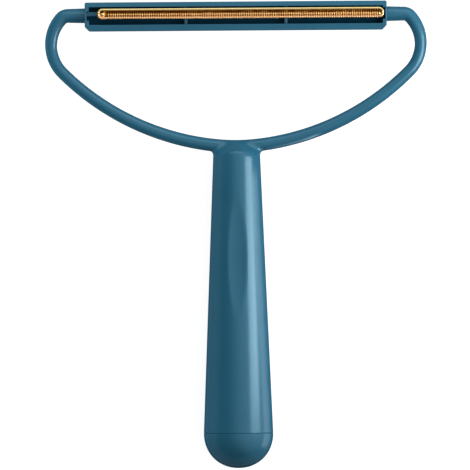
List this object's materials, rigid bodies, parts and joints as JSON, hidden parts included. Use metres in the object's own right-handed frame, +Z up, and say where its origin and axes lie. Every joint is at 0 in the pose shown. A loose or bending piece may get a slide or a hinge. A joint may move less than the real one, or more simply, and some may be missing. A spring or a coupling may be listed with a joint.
{
  "type": "lint scraper",
  "caption": "Hand-held lint scraper: tapered round handle, wishbone yoke and a bar head with a fluted copper blade on each face.",
  "frame": {"origin": "centre of the footprint, on the surface that the tool lies on", "axes": "+Y from the handle towards the head, +X across the head, +Z up out of the front face; the tool lies on its back, so its own plane leans 2.3 degrees with the handle end higher"},
  "size_m": [0.142, 0.174, 0.0258],
  "materials": {
    "teal_plastic": "satin moulded plastic",
    "copper": "polished fluted copper"
  },
  "bodies": {
    "tool": {"handle_frame": "teal_plastic", "head_housing": "teal_plastic", "seat_bar_front": "teal_plastic", "seat_bar_back": "teal_plastic", "blade_front": "copper", "blade_back": "copper"},
    "cap": {"end_cap": "teal_plastic"}
  },
  "joints": [
    {"name": "cap_pull", "type": "slide", "parent": "tool", "child": "cap", "axis": [0, -0.9992, 0.0405], "range_m": [0, 0.014]}
  ]
}
